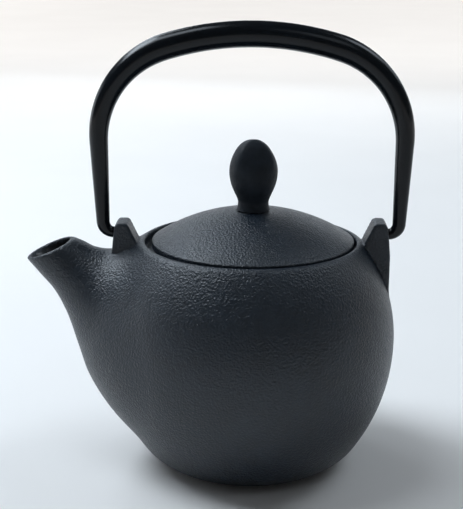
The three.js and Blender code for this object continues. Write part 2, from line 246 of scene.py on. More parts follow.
class SpoutField:
    """Where a point lies among the spout's sections, which fan out from the mouth to the root."""

    samples = 161
    cell = 0.5
    # The wall grows from the lip's to its full thickness over this share of the spout's length.
    thickening = 0.2

    def __init__(self, low_corner, high_corner):
        low, high = through(SPOUT_LOW, self.samples), through(SPOUT_HIGH, self.samples)
        self.centre = (low + high) / 2
        half = (high - low) / 2
        self.half_height = np.linalg.norm(half, axis=1)
        self.direction = half / self.half_height[:, None]
        self.half_width = through(SPOUT_WIDTH, self.samples)[:, 0] / 2
        self.corner = np.array([low_corner, high_corner], float)
        size = np.ceil((self.corner[1] - self.corner[0]) / self.cell).astype(int) + 1
        x = self.corner[0, 0] + self.cell * np.arange(size[0])
        z = self.corner[0, 1] + self.cell * np.arange(size[1])
        self.table = self._section_table(*np.meshgrid(x, z, indexing="ij"))

    def _section_table(self, x, z):
        """The section number, as a fraction, whose plane passes through each point."""
        ahead = np.empty((self.samples, *x.shape), np.float32)
        for i, (centre, direction) in enumerate(zip(self.centre, self.direction)):
            ahead[i] = -(x - centre[0]) * direction[1] + (z - centre[1]) * direction[0]
        passed = np.argmax(ahead > 0, axis=0)
        passed[~(ahead > 0).any(axis=0)] = self.samples - 1
        before = np.maximum(passed - 1, 0)
        d1 = np.take_along_axis(ahead, passed[None], 0)[0]
        d0 = np.take_along_axis(ahead, before[None], 0)[0]
        share = np.where(passed > before, np.clip(-d0 / np.where(d1 == d0, 1, d1 - d0), 0, 1), 0)
        return before + share * (passed > before)

    def section(self, x, z):
        """Bilinear lookup in the table, held just inside its last cell."""
        last = np.array(self.table.shape) - 1.001
        u = np.clip((x - self.corner[0, 0]) / self.cell, 0, last[0])
        w = np.clip((z - self.corner[0, 1]) / self.cell, 0, last[1])
        i, k = u.astype(int), w.astype(int)
        u, w = u - i, w - k
        t = self.table
        near = t[i, k] * (1 - u) + t[i + 1, k] * u
        far = t[i, k + 1] * (1 - u) + t[i + 1, k + 1] * u
        return near * (1 - w) + far * w

    def distance(self, x, y, z, lip_inset=0.0, wall_inset=0.0, open_mouth=False):
        """Distance to the spout's surface, set in by the wall's thickness. An open mouth isn't cut off."""
        place = self.section(x, z)
        number = np.arange(self.samples)

        def look(values):
            return np.interp(place, number, values)

        cx, cz = look(self.centre[:, 0]), look(self.centre[:, 1])
        along_x, along_z = look(self.direction[:, 0]), look(self.direction[:, 1])
        share = np.clip(place / self.samples / self.thickening, 0, 1)
        inset = lip_inset + (wall_inset - lip_inset) * share
        height = look(self.half_height) - inset
        width = look(self.half_width) - inset
        across = (x - cx) * along_x + (z - cz) * along_z
        ahead = (z - cz) * along_x - (x - cx) * along_z
        # Distance to an ellipse, to first order. The tiny term keeps it finite on the axis.
        tiny = 1e-6
        scaled = np.sqrt((across / height) ** 2 + (y / width) ** 2) + tiny
        slope = np.sqrt((across / height**2) ** 2 + (y / width**2) ** 2) + tiny
        side = scaled * (scaled - 1) / slope
        if not open_mouth:
            mouth, tilt = self.centre[0], self.direction[0]
            past_mouth = (z - mouth[1]) * tilt[0] - (x - mouth[0]) * tilt[1]
            side = smooth_max(side, past_mouth, SPOUT_MOUTH_EDGE)
        past_root = np.where(place >= self.samples - 1, -ahead, side)
        return np.maximum(side, past_root)


def vessel_distance(r, z):
    """The vessel's outside, as if it were solid and closed at the top."""
    shoulder = np.hypot(r - SHOULDER_CENTRE, z - BELLY_Z) - SHOULDER_ARC
    belly = np.hypot(r - BELLY_CENTRE, z - BELLY_Z) - BELLY_ARC
    foot = np.where(r > BASE_RADIUS, np.hypot(r - BASE_RADIUS, z - FOOT_ARC) - FOOT_ARC, -z)
    below = (r - BELLY_CENTRE) * (FOOT_ARC - BELLY_Z) - (z - BELLY_Z) * (BASE_RADIUS - BELLY_CENTRE)
    return np.where(z >= BELLY_Z, shoulder, np.where(below > 0, foot, belly))


def cavity_distance(r, z):
    """The hollow inside: a vessel-shaped space, the neck under the seat, and the wide mouth over it."""
    foot_round, seat_round, neck_round, mouth_round = 4, 2, 1, 0.8
    inside = smooth_max(vessel_distance(r, z) + WALL, FLOOR_THICKNESS - z, foot_round)
    # The underside of the seat slopes from its edge out to the wall.
    rise, run = 4.5, 10.5
    under_seat = ((r - SEAT_RADIUS) * rise + (z - SEAT_Z + SEAT_DEPTH) * run) / math.hypot(rise, run)
    space = smooth_max(inside, under_seat, seat_round)
    neck = np.maximum(r - SEAT_RADIUS, SEAT_Z - 3 * SEAT_DEPTH - z)
    mouth = np.maximum(r - MOUTH_RADIUS, SEAT_Z - z)
    return smooth_min(smooth_min(space, neck, neck_round), mouth, mouth_round)


def polygon_distance(x, z, outline):
    """Signed distance to a closed outline in the XZ plane, negative inside."""
    nearest = np.full(np.broadcast(x, z).shape, np.inf)
    inside = np.zeros(nearest.shape, bool)
    for (ax, az), (bx, bz) in zip(outline, outline[1:] + outline[:1]):
        ex, ez = bx - ax, bz - az
        t = np.clip(((x - ax) * ex + (z - az) * ez) / (ex * ex + ez * ez), 0, 1)
        nearest = np.minimum(nearest, np.hypot(x - ax - t * ex, z - az - t * ez))
        if az != bz:
            crosses = ((az > z) != (bz > z)) & (x < ax + ex * (z - az) / ez)
            inside ^= crosses
    return np.where(inside, -nearest, nearest)


def lug_distance(x, y, z):
    """Both lugs, with softly rounded cast edges. The rear one is a little taller."""
    outline = [tuple(corner) for corner in rounded(LUG_CORNERS, 3)]
    stretch = smooth_step((z - REAR_LUG_STRETCH_Z) / REAR_LUG_STRETCH_HEIGHT)
    level = z - np.where(x > 0, REAR_LUG_RISE, 0) * stretch
    profile = polygon_distance(np.abs(x), level, outline) + LUG_EDGE
    width = np.abs(y) - LUG_HALF_WIDTH + LUG_EDGE
    outside = np.hypot(np.maximum(profile, 0), np.maximum(width, 0))
    return outside + np.minimum(np.maximum(profile, width), 0) - LUG_EDGE


def hollow_distance(x, y, z, spout):
    """The whole hollow: the inside of the vessel and the bore of the spout."""
    bore = spout.distance(x, y, z, SPOUT_LIP, SPOUT_WALL, open_mouth=True)
    return smooth_min(cavity_distance(np.hypot(x, y), z), bore, BORE_BLEND)


def pot_distance(x, y, z, spout):
    """Signed distance to the casting's surface, negative in the iron."""
    r = np.hypot(x, y)
    # The spout runs into the belly on a wide round near the top and a narrow one near the foot.
    widening = smooth_step((z - SPOUT_BLEND_Z) / SPOUT_BLEND_HEIGHT)
    blend = SPOUT_FOOT_BLEND + (SPOUT_TOP_BLEND - SPOUT_FOOT_BLEND) * widening
    cast = smooth_min(vessel_distance(r, z), spout.distance(x, y, z), blend)
    lip_rise = LIP_CUT_SLOPE * np.maximum(r - MOUTH_RADIUS - LIP_WIDTH, 0)
    cast = smooth_max(cast, z - LIP_Z - lip_rise, LIP_EDGE)
    cast = smooth_min(cast, lug_distance(x, y, z), LUG_BLEND)
    cast = smooth_max(cast, -hollow_distance(x, y, z, spout), HOLLOW_EDGE)
    pivot = np.maximum(np.hypot(y, z - HINGE_Z) - LUG_HOLE_RADIUS, LUG_HOLE_END_X - np.abs(x))
    return smooth_max(cast, -pivot, LUG_HOLE_EDGE)


def surface_net(values, origin, step):
    """Points and quads on the zero surface of a grid of distances, one point in each cell it crosses."""
    stride = np.array([values.shape[1] * values.shape[2], values.shape[2], 1])
    quads, crossings = [], []
    for axis in range(3):
        head = [slice(None)] * 3
        tail = [slice(None)] * 3
        head[axis], tail[axis] = slice(None, -1), slice(1, None)
        a, b = values[tuple(head)], values[tuple(tail)]
        edge = np.argwhere((a < 0) != (b < 0))
        at = tuple(edge.T)
        place = edge.astype(float)
        place[:, axis] += a[at] / (a[at] - b[at])
        side = np.zeros((2, 3), int)
        side[0, (axis + 1) % 3] = 1
        side[1, (axis + 2) % 3] = 1
        corners = [edge, edge - side[0], edge - side[0] - side[1], edge - side[1]]
        quad = np.stack([corner @ stride for corner in corners], 1)
        leaving = a[at] < 0
        quad[~leaving] = quad[~leaving][:, ::-1]
        quads.append(quad)
        crossings.append(place)
    quads, crossings = np.vstack(quads), np.vstack(crossings)
    _, number = np.unique(quads, return_inverse=True)
    number = number.reshape(quads.shape)
    count = np.bincount(number.ravel())
    points = np.stack(
        [np.bincount(number.ravel(), np.repeat(crossings[:, k], 4)) / count for k in range(3)], 1
    )
    return origin + points * step, number


def settle(points, distance, rounds=3):
    """Moves points along the field's slope onto its zero surface."""
    probe, least_steepness, longest_move = 0.02, 0.3, 0.5
    for _ in range(rounds):
        value = distance(*points.T)
        slope = np.stack(
            [(distance(*(points + probe * axis).T) - value) / probe for axis in np.eye(3)], 1
        )
        steepness = np.maximum((slope**2).sum(1), least_steepness)
        shift = (value / steepness)[:, None] * slope
        length = np.linalg.norm(shift, axis=1, keepdims=True)
        points = points - shift * np.minimum(1, longest_move / np.maximum(length, 1e-9))
    return points


def pot_body():
    """The casting, with its enamelled inside as a second material."""
    low, high = POT_LOW - GRID_MARGIN, POT_HIGH + GRID_MARGIN
    size = np.ceil((high - low) / GRID_STEP).astype(int) + 1
    x, y, z = (low[k] + GRID_STEP * np.arange(size[k]) for k in range(3))
    spout = SpoutField(low[[0, 2]] - 1, high[[0, 2]] + 1)
    values = pot_distance(x[:, None, None], y[None, :, None], z[None, None, :], spout)
    points, quads = surface_net(values, low, GRID_STEP)
    points = settle(points, lambda *place: pot_distance(*place, spout))
    piece = add_piece("cast_pot", points, quads.tolist(), "pot", cast_iron())
    piece.data.materials.append(enamel())
    x, y, z = points[quads].mean(1).T
    over_mouth = (z - spout.centre[0, 1]) - (x - spout.centre[0, 0]) * MOUTH_SLOPE
    inner = (
        (hollow_distance(x, y, z, spout) < ENAMEL_REACH)
        & (z < SEAT_Z - ENAMEL_BELOW_SEAT)
        & (over_mouth < -ENAMEL_BELOW_MOUTH)
    )
    piece.data.polygons.foreach_set("material_index", inner.astype(np.int32))
    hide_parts("pot_body")


# ---------- bail handle ----------

BAIL_TOP_ARC = 130
BAIL_CORNER_ARC = 42.7
BAIL_CORNER_START = math.radians(17)
BAIL_LEAN = math.radians(1.7)
BAIL_HOOK_ARC = 5
BAIL_TIP_X = 56.4
# The CAD bar has facets, so its box is a little narrower than the round bar.
BAIL_FACET_LOSS = 0.25
BAIL_TOP_DIAMETER = float(BAIL_HIGH[1] - BAIL_LOW[1]) + BAIL_FACET_LOSS
BAIL_FOOT_DIAMETER = 5.9
BAIL_HOOK_DIAMETER = 5
BAIL_TOP_Z = float(BAIL_HIGH[2]) - BAIL_TOP_DIAMETER / 2


def arc(centre, radius, start, end, steps):
    """Points along an arc, its two ends included."""
    angle = np.linspace(start, end, steps + 1)
    return np.stack([centre[0] + radius * np.cos(angle), centre[1] + radius * np.sin(angle)], 1)


def bail_half():
    """The bail's centre line in the XZ plane, from a hook's tip to the middle of the top."""
    top_angle = math.pi / 2 - BAIL_CORNER_START
    top_centre = np.array([0, BAIL_TOP_Z - BAIL_TOP_ARC])
    reach = BAIL_TOP_ARC - BAIL_CORNER_ARC
    corner = top_centre + reach * np.array([math.cos(top_angle), math.sin(top_angle)])
    limb_top = corner + BAIL_CORNER_ARC * np.array([math.cos(BAIL_LEAN), -math.sin(BAIL_LEAN)])
    foot_z = HINGE_Z + BAIL_HOOK_ARC * (1 - math.sin(BAIL_LEAN))
    foot_x = limb_top[0] - (limb_top[1] - foot_z) * math.tan(BAIL_LEAN)
    hook = np.array([foot_x - BAIL_HOOK_ARC * math.cos(BAIL_LEAN), HINGE_Z + BAIL_HOOK_ARC])
    tip = np.linspace([BAIL_TIP_X, HINGE_Z], [hook[0], HINGE_Z], 8)
    limb = np.linspace([foot_x, foot_z], limb_top, 40)
    return np.vstack([
        tip[:-1],
        arc(hook, BAIL_HOOK_ARC, -math.pi / 2, -BAIL_LEAN, 12)[:-1],
        limb[:-1],
        arc(corner, BAIL_CORNER_ARC, -BAIL_LEAN, top_angle, 48)[:-1],
        arc(top_centre, BAIL_TOP_ARC, top_angle, math.pi / 2, 30),
    ])


def bail_diameter(from_tip):
    """A thin hook, then a long even taper up to the thick top."""
    hook_end, foot_start, top_start = 6, 12, 104
    swell = 0.06
    hook = smooth_step((from_tip - hook_end) / (foot_start - hook_end))
    taper = np.clip((from_tip - foot_start) / (top_start - foot_start), 0, 1)
    taper = taper + swell * np.sin(2 * math.pi * taper) / (2 * math.pi)
    return (
        BAIL_HOOK_DIAMETER
        + (BAIL_FOOT_DIAMETER - BAIL_HOOK_DIAMETER) * hook
        + (BAIL_TOP_DIAMETER - BAIL_FOOT_DIAMETER) * taper
    )


def sweep(line, radii, around):
    """Points and faces of a round bar along a line in the XZ plane, closed at its two ends."""
    tangent = np.gradient(line, axis=0)
    tangent /= np.linalg.norm(tangent, axis=1, keepdims=True)
    angle = np.linspace(0, 2 * math.pi, around, endpoint=False)
    out = radii[:, None] * np.cos(angle)
    across = radii[:, None] * np.sin(angle)
    points = np.stack(
        [line[:, :1] + out * tangent[:, 1:], across, line[:, 1:] - out * tangent[:, :1]], -1
    ).reshape(-1, 3)
    faces = grid_faces(len(line), around).tolist()
    last = (len(line) - 1) * around
    faces.append(list(range(around - 1, -1, -1)))
    faces.append(list(range(last, last + around)))
    return points, faces


def bail_handle():
    """The bar, swept along its centre line, with its two cut ends eased."""
    eased_end = 0.82
    half = bail_half()
    line = np.vstack([half, half[-2::-1] * [-1, 1]])
    length = np.concatenate([[0], np.cumsum(np.linalg.norm(np.diff(line, axis=0), axis=1))])
    from_tip = np.minimum(length, length[-1] - length)
    radii = bail_diameter(from_tip) / 2 * np.where(from_tip == 0, eased_end, 1)
    points, faces = sweep(line, radii, around=40)
    piece = add_piece("bail_bar", points, faces, "handle", bail_paint())
    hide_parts("bail_handle")


# ---------- lid and knob ----------

LID_X = float(LID_LOW[0] + LID_HIGH[0]) / 2
# A little less than the CAD lid's, which widens the dark gap round it.
LID_RADIUS = float(LID_HIGH[1]) - 0.3
LID_WALL = 3
LID_APEX_Z = 119.3
LID_EDGE_Z = 105.5
SKIRT_RADIUS = 38.4
SKIRT_DEPTH = 3.5
LID_BOTTOM_Z = float(LID_LOW[2]) + SKIRT_DEPTH
UNDERSIDE_RISE = 5.5
SEAT_FLAT_RADIUS = 8.6
STUD_HOLE_RADIUS = 3


def dome(apex_z, edge_radius, edge_z, crown_radius, steps):
    """Points (radius, z) down a dome from its crown to its edge."""
    rise = apex_z - edge_z
    sphere = (edge_radius**2 + rise**2) / (2 * rise)
    r = np.linspace(crown_radius, edge_radius, steps + 1)
    return np.stack([r, apex_z - sphere + np.sqrt(sphere**2 - r**2)], 1)


def lid_piece():
    """A dome of even thickness with a skirt below and a hole for the knob's stud."""
    over = dome(LID_APEX_Z, LID_RADIUS, LID_EDGE_Z, SEAT_FLAT_RADIUS, 40)
    skirt_inside = SKIRT_RADIUS - LID_WALL
    under = dome(LID_APEX_Z - LID_WALL, skirt_inside, LID_BOTTOM_Z + UNDERSIDE_RISE, SEAT_FLAT_RADIUS, 24)
    bottom = [(r, z, 0) for r, z in under[:-1]] + [
        (skirt_inside, under[-1][1], 1.2),
        (skirt_inside, LID_BOTTOM_Z - SKIRT_DEPTH, 0.8),
        (SKIRT_RADIUS, LID_BOTTOM_Z - SKIRT_DEPTH, 0.8),
        (SKIRT_RADIUS, LID_BOTTOM_Z, 0.8),
        (LID_RADIUS, LID_BOTTOM_Z, 0.7),
    ]
    top = [(LID_RADIUS, LID_EDGE_Z, 0.9)] + [(r, z, 0) for r, z in over[-2::-1]]
    hole = [(STUD_HOLE_RADIUS, over[0][1], 0.3), (STUD_HOLE_RADIUS, under[0][1], 0.3)]
    outline = rounded(bottom + top + hole)
    points, faces = revolve(outline, 160, LID_X)
    piece = add_piece("lid_casting", points, faces, "lid", cast_iron())
    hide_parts("lid")


# The bud is an egg, widest at one ring, that runs down into a neck with a flared foot.
BUD_RADIUS = 11
BUD_WIDEST_Z = 138
BUD_TOP_Z = 151.2
BUD_TIP_RADIUS = 0.4
BUD_DROP = 16.8
BUD_FULLNESS = 2.04
NECK_FOOT_Z = 119.6
NECK_FOOT_RADIUS = 7.4
NECK_RADIUS = 6.9
NECK_FLARE_HEIGHT = 3
NECK_ROUND = 2.2
BUD_TURN = math.radians(8)
BUD_FOOT_RADIUS = 7.6
FACETS_Z = 134
FACETS_HEIGHT = 13
FACET_SHARPNESS = 0.62
FACET_SPREAD = 0.05
STUD_RADIUS = 2.5
THREAD_PITCH = 0.8
THREAD_DEPTH = 0.35
STUD_PLAY = 0.3


def bud_outline(lower_rows, upper_rows):
    """The bud's outline as (radius, z), from its foot to its tip."""
    z = np.linspace(NECK_FOOT_Z, BUD_WIDEST_Z, lower_rows)
    egg = BUD_RADIUS * np.sqrt(np.clip(1 - ((BUD_WIDEST_Z - z) / BUD_DROP) ** 2, 0, 1))
    flare = np.clip(1 - (z - NECK_FOOT_Z) / NECK_FLARE_HEIGHT, 0, 1) ** 2
    neck = NECK_RADIUS + (NECK_FOOT_RADIUS - NECK_RADIUS) * flare
    lower = np.stack([smooth_max(egg, neck, NECK_ROUND), z], -1)
    # Above its widest ring the egg is a superellipse, a little fuller than an ellipse.
    bend = 2 / BUD_FULLNESS
    steepest = math.acos((BUD_TIP_RADIUS / BUD_RADIUS) ** (1 / bend))
    turn = np.linspace(0, steepest, upper_rows + 1)[1:]
    rise = (BUD_TOP_Z - BUD_WIDEST_Z) * (np.sin(turn) / math.sin(steepest)) ** bend
    upper = np.stack([BUD_RADIUS * np.cos(turn) ** bend, BUD_WIDEST_Z + rise], -1)
    return np.vstack([lower, upper])


def knob_piece():
    """A bud with four soft facets that meet at its tip, on a foot with a threaded stud below."""
    clearance, eased_width, eased_height = 0.3, 0.4, 0.25
    foot_z = float(dome(LID_APEX_Z, LID_RADIUS, LID_EDGE_Z, SEAT_FLAT_RADIUS, 1)[0, 1]) + clearance
    stud_end = float(KNOB_LOW[2])
    around, rows_per_turn, blunt = 72, 8, 0.75
    bud = bud_outline(lower_rows=50, upper_rows=40)
    stud_z = np.arange(stud_end, foot_z, THREAD_PITCH / rows_per_turn)
    rows = [(STUD_RADIUS * blunt, stud_end)] + [(STUD_RADIUS, z) for z in stud_z[2:]]
    threaded = len(rows)
    rows += [
        (STUD_RADIUS, foot_z),
        (BUD_FOOT_RADIUS - eased_width, foot_z),
        (BUD_FOOT_RADIUS, foot_z + eased_height),
    ]
    rows = np.vstack([rows, bud])
    r, z = rows[:, :1], rows[:, 1:]
    angle = np.linspace(0, 2 * math.pi, around, endpoint=False)[None]
    # Sections are superellipses whose power falls from 2, so they run from round to a soft diamond.
    faceting = smooth_step((z - FACETS_Z) / FACETS_HEIGHT)
    power = 2 - FACET_SHARPNESS * faceting
    turned = angle - BUD_TURN - math.pi / 4
    facets = (np.abs(np.cos(turned)) ** power + np.abs(np.sin(turned)) ** power) ** (-1 / power)
    radius = r * np.where(power < 2, facets, 1) * (1 + FACET_SPREAD * faceting)
    wave = np.abs(((z / THREAD_PITCH - angle / (2 * math.pi)) % 1) * 2 - 1)
    cut = np.arange(len(rows))[:, None] < threaded
    radius = radius - np.where(cut, THREAD_DEPTH * wave, 0)
    points = np.stack([LID_X + radius * np.cos(angle), radius * np.sin(angle), z + 0 * angle], -1)
    points = points.reshape(-1, 3)
    faces = grid_faces(len(rows), around).tolist()
    top = (len(rows) - 1) * around
    faces.append(list(range(around - 1, -1, -1)))
    faces.append(list(range(top, top + around)))
    piece = add_piece("bud_knob", points, faces, "lid", knob_finish())
    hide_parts("lid_knob")


def washer_piece():
    """A flat ring with eased edges, under the lid."""
    hole = STUD_RADIUS + STUD_PLAY
    low, high, outer = float(WASHER_LOW[2]), float(WASHER_HIGH[2]), float(WASHER_HIGH[1])
    edge = 0.25
    corners = [(hole, low, edge), (outer, low, edge), (outer, high, edge), (hole, high, edge)]
    points, faces = revolve(rounded(corners, 3), 48, LID_X)
    steel = stainless("washer_steel", "fastener_steel")
    piece = add_piece("steel_washer", points, faces, "lid", steel)
    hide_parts("knob_washer")


def nut_piece():
    """A hexagon nut with chamfered corners: a turned blank whose sides are cut to six flats."""
    hole = STUD_RADIUS + STUD_PLAY
    low, high = float(NUT_LOW[2]), float(NUT_HIGH[2])
    flat = float(NUT_HIGH[1])
    face = 0.96 * flat
    corner = flat / math.cos(math.pi / 6)
    chamfer, lead_in = 0.5, 0.3
    outline = np.array([
        (hole, low + lead_in), (hole + lead_in, low), (face, low), (corner, low + chamfer),
        (corner, high - chamfer), (face, high), (hole + lead_in, high), (hole, high - lead_in),
    ])
    points, faces = revolve(outline, 72)
    angle = np.arctan2(points[:, 1], points[:, 0])
    radius = np.hypot(points[:, 0], points[:, 1])
    from_flat = (angle - math.pi / 6) % (math.pi / 3)
    from_flat = np.minimum(from_flat, math.pi / 3 - from_flat)
    limit = flat / np.cos(from_flat)
    scale = np.minimum(1, limit / radius)
    points = points * np.stack([scale, scale, np.ones_like(scale)], 1) + [LID_X, 0, 0]
    steel = stainless("nut_steel", "fastener_steel")
    piece = add_piece("hex_nut", points, faces, "lid", steel, smooth=False)
    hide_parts("knob_nut")


# ---------- infuser ----------

COLLAR_INNER = 41.5
COLLAR_OUTER = 42.3
SHEET = 0.8
LEDGE_WIDTH = 4
# The flange stops short of the seat's edge, so that no bright steel shows in the gap round the lid.
RIM_SETBACK = 0.6


def infuser_rim():
    """A flange that hangs on the seat, turned down into a collar."""
    low, bottom, top = float(RIM_LOW[2]), float(RIM_HIGH[2]) - SHEET, float(RIM_HIGH[2])
    outer = float(RIM_HIGH[1]) - RIM_SETBACK
    outline = rounded([
        (COLLAR_INNER, low, 0.2), (COLLAR_OUTER, low, 0.2), (COLLAR_OUTER, bottom, 0.3),
        (outer, bottom, 0.35), (outer, top, 0.35), (COLLAR_INNER, top, 1.0),
    ], 4)
    points, faces = revolve(outline, 128)
    steel = stainless("rim_steel", "stainless_sheet")
    piece = add_piece("rim_flange", points, faces, "infuser", steel)
    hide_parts("infuser_rim")


def infuser_base_ring():
    """A pressed band round the foot of the basket, with a ledge that carries the mesh floor."""
    low, high = float(BASE_RING_LOW[2]), float(BASE_RING_HIGH[2])
    outer = float(BASE_RING_HIGH[1])
    inner = outer - SHEET
    ledge = inner - LEDGE_WIDTH
    outline = rounded([
        (ledge, low, 0.3), (outer, low, 1.0), (outer, high, 0.3), (inner, high, 0.3),
        (inner, low + SHEET, 0.4), (ledge, low + SHEET, 0.3),
    ], 4)
    points, faces = revolve(outline, 128)
    steel = stainless("band_steel", "stainless_sheet")
    piece = add_piece("basket_band", points, faces, "infuser", steel)
    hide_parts("infuser_base_ring")


WIRE_RADIUS = 0.15
WIRE_SIDES = 4
MESH_PITCH = 1.1
BASKET_FOOT_RADIUS = 38.2


def wire_tubes(lines, closed):
    """Points and faces of thin wires. Each line is an array of points, and a closed one joins its own start.

    A wire's section is turned to face away from the Z axis, or upwards where the wire comes near that axis.
    """
    near_axis = 0.5
    all_points, all_faces = [], []
    start = 0
    angle = np.linspace(0, 2 * math.pi, WIRE_SIDES, endpoint=False) + math.pi / 4
    for line in lines:
        if closed:
            tangent = np.roll(line, -1, 0) - np.roll(line, 1, 0)
        else:
            tangent = np.gradient(line, axis=0)
        tangent /= np.linalg.norm(tangent, axis=1, keepdims=True)
        outward = np.stack([line[:, 0], line[:, 1], 0 * line[:, 2]], 1)
        outward -= tangent * (outward * tangent).sum(1, keepdims=True)
        length = np.linalg.norm(outward, axis=1, keepdims=True)
        outward = np.where(length > near_axis, outward / np.maximum(length, 1e-9), [0, 0, 1])
        side = np.cross(tangent, outward)
        ring = WIRE_RADIUS * (
            np.cos(angle)[None, :, None] * outward[:, None] + np.sin(angle)[None, :, None] * side[:, None]
        )
        all_points.append((line[:, None] + ring).reshape(-1, 3))
        faces = grid_faces(len(line), WIRE_SIDES, closed_rows=closed)
        all_faces.extend((faces + start).tolist())
        if not closed:
            last = start + (len(line) - 1) * WIRE_SIDES
            all_faces.append([start + k for k in range(WIRE_SIDES)][::-1])
            all_faces.append([last + k for k in range(WIRE_SIDES)])
        start += len(line) * WIRE_SIDES
    return np.vstack(all_points), all_faces


def infuser_wall():
    """A woven cone: upright wires and hoops pass over and under each other."""
    top_z, bottom_z = float(WALL_HIGH[2]), float(WALL_LOW[2])
    top_radius = float(WALL_HIGH[1]) - 2 * WIRE_RADIUS
    bottom_radius = BASKET_FOOT_RADIUS - 2 * WIRE_RADIUS
    uprights = 2 * round(math.pi * top_radius / MESH_PITCH)
    hoops = round((top_z - bottom_z) / MESH_PITCH)
    lines = []
    level = np.linspace(top_z - WIRE_RADIUS, bottom_z + WIRE_RADIUS, hoops)
    angle = np.linspace(0, 2 * math.pi, 2 * uprights, endpoint=False)
    for k, z in enumerate(level):
        weave = WIRE_RADIUS * np.cos(angle * uprights / 2 + math.pi * k)
        radius = np.interp(z, [bottom_z, top_z], [bottom_radius, top_radius]) + weave
        lines.append(np.stack([radius * np.cos(angle), radius * np.sin(angle), z + 0 * angle], 1))
    points, faces = wire_tubes(lines, closed=True)
    z = np.linspace(top_z, bottom_z, 2 * hoops)
    phase = np.interp(z, [level[-1], level[0]], [hoops - 1, 0])
    slope = np.interp(z, [bottom_z, top_z], [bottom_radius, top_radius])
    lines = []
    for k in range(uprights):
        turn = 2 * math.pi * k / uprights
        radius = slope - WIRE_RADIUS * np.cos(math.pi * (phase + k))
        lines.append(np.stack([radius * math.cos(turn), radius * math.sin(turn), z], 1))
    more_points, more_faces = wire_tubes(lines, closed=False)
    faces += [[i + len(points) for i in face] for face in more_faces]
    points = np.vstack([points, more_points])
    steel = stainless("wall_wire", "stainless_mesh")
    piece = add_piece("woven_wall", points, faces, "infuser", steel)
    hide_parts("infuser_wall")


def infuser_floor():
    """A woven disc, resting on the band's ledge."""
    middle = float(FLOOR_LOW[2] + FLOOR_HIGH[2]) / 2
    edge = float(FLOOR_HIGH[1])
    count = int(edge / MESH_PITCH)
    lines = []
    for way in (0, 1):
        for k in range(-count, count + 1):
            reach = math.sqrt(max(edge**2 - (k * MESH_PITCH) ** 2, 0))
            steps = max(int(2 * reach / (MESH_PITCH / 2)), 2)
            along = np.linspace(-reach, reach, steps + 1)
            lift = WIRE_RADIUS * np.cos(math.pi * (along / MESH_PITCH + k + way))
            line = np.stack([along, np.full_like(along, k * MESH_PITCH), middle + lift], 1)
            lines.append(line[:, [1, 0, 2]] if way else line)
    points, faces = wire_tubes(lines, closed=False)
    steel = stainless("floor_wire", "stainless_mesh")
    piece = add_piece("woven_floor", points, faces, "infuser", steel)
    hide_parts("infuser_floor")


# ---------- materials ----------

RANGE_INPUTS = ("From Min", "From Max", "To Min", "To Max")
# Most of a noise texture's values lie between these two.
NOISE_RANGE = (0.3, 0.7)


class Shader:
    """A material with one Principled shader, and short ways to make and join its nodes."""

    def __init__(self, name, **constants):
        self.material = bpy.data.materials.new(name)
        self.material.use_nodes = True
        self.tree = self.material.node_tree
        self.surface = self.tree.nodes["Principled BSDF"]
        for key, value in constants.items():
            self.surface.inputs[key.replace("_", " ")].default_value = value
        self.place = self.tree.nodes.new("ShaderNodeTexCoord").outputs["Object"]

    def placed(self, kind, at, **inputs):
        """A node that is read at a place, with its other inputs as constants."""
        made = self.tree.nodes.new(kind)
        for name, value in inputs.items():
            made.inputs[name].default_value = value
        self.tree.links.new(at, made.inputs["Vector"])
        return made.outputs[0]

    def noise(self, size_mm, detail=2.0, roughness=0.5, at=None):
        """Smooth noise whose lumps are about size_mm across."""
        scale = 1 / (size_mm * MM)
        return self.placed(
            "ShaderNodeTexNoise", at or self.place, Scale=scale, Detail=detail, Roughness=roughness
        )

    def spread(self, noise, low, high):
        """A noise carried to a range of its own."""
        made = self.tree.nodes.new("ShaderNodeMapRange")
        for name, number in zip(RANGE_INPUTS, (*NOISE_RANGE, low, high)):
            made.inputs[name].default_value = number
        self.tree.links.new(noise, made.inputs["Value"])
        return made.outputs[0]

    def math(self, operation, a, b):
        """A sum or a product of two values, each a number or a node's output."""
        made = self.tree.nodes.new("ShaderNodeMath")
        made.operation = operation
        for socket, value in zip(made.inputs, (a, b)):
            if isinstance(value, (int, float)):
                socket.default_value = value
            else:
                self.tree.links.new(value, socket)
        return made.outputs[0]

    def colours(self, value, stops):
        """A colour ramp: stops are (place, colour)."""
        made = self.tree.nodes.new("ShaderNodeValToRGB")
        ramp = made.color_ramp
        while len(ramp.elements) < len(stops):
            ramp.elements.new(0.5)
        for element, (place, colour) in zip(ramp.elements, stops):
            element.position = place
            element.color = (*colour, 1)
        self.tree.links.new(value, made.inputs["Fac"])
        return made.outputs[0]

    def join(self, source, socket):
        """Feeds an input of the Principled shader."""
        self.tree.links.new(source, self.surface.inputs[socket])

    def bump(self, height, depth_mm, strength=1.0, after=None):
        """Relief of a given depth, laid over an earlier relief if one is given."""
        made = self.tree.nodes.new("ShaderNodeBump")
        made.inputs["Strength"].default_value = strength
        made.inputs["Distance"].default_value = depth_mm * MM
        self.tree.links.new(height, made.inputs["Height"])
        if after is not None:
            self.tree.links.new(after, made.inputs["Normal"])
        self.tree.links.new(made.outputs[0], self.surface.inputs["Normal"])
        return made.outputs[0]


def tint(slot, shade, warmth=0.0):
    """A slot's colour made lighter or darker, and a little warmer or colder."""
    r, g, b = (c * shade for c in SLOT_COLOURS[slot])
    return (r * (1 + warmth), g, b * (1 - warmth))


def made_once(make):
    """Keeps the material that a function makes, so that every piece shares it."""
    kept = {}

    def get(*values):
        if values not in kept:
            kept[values] = make(*values)
        return kept[values]

    return get


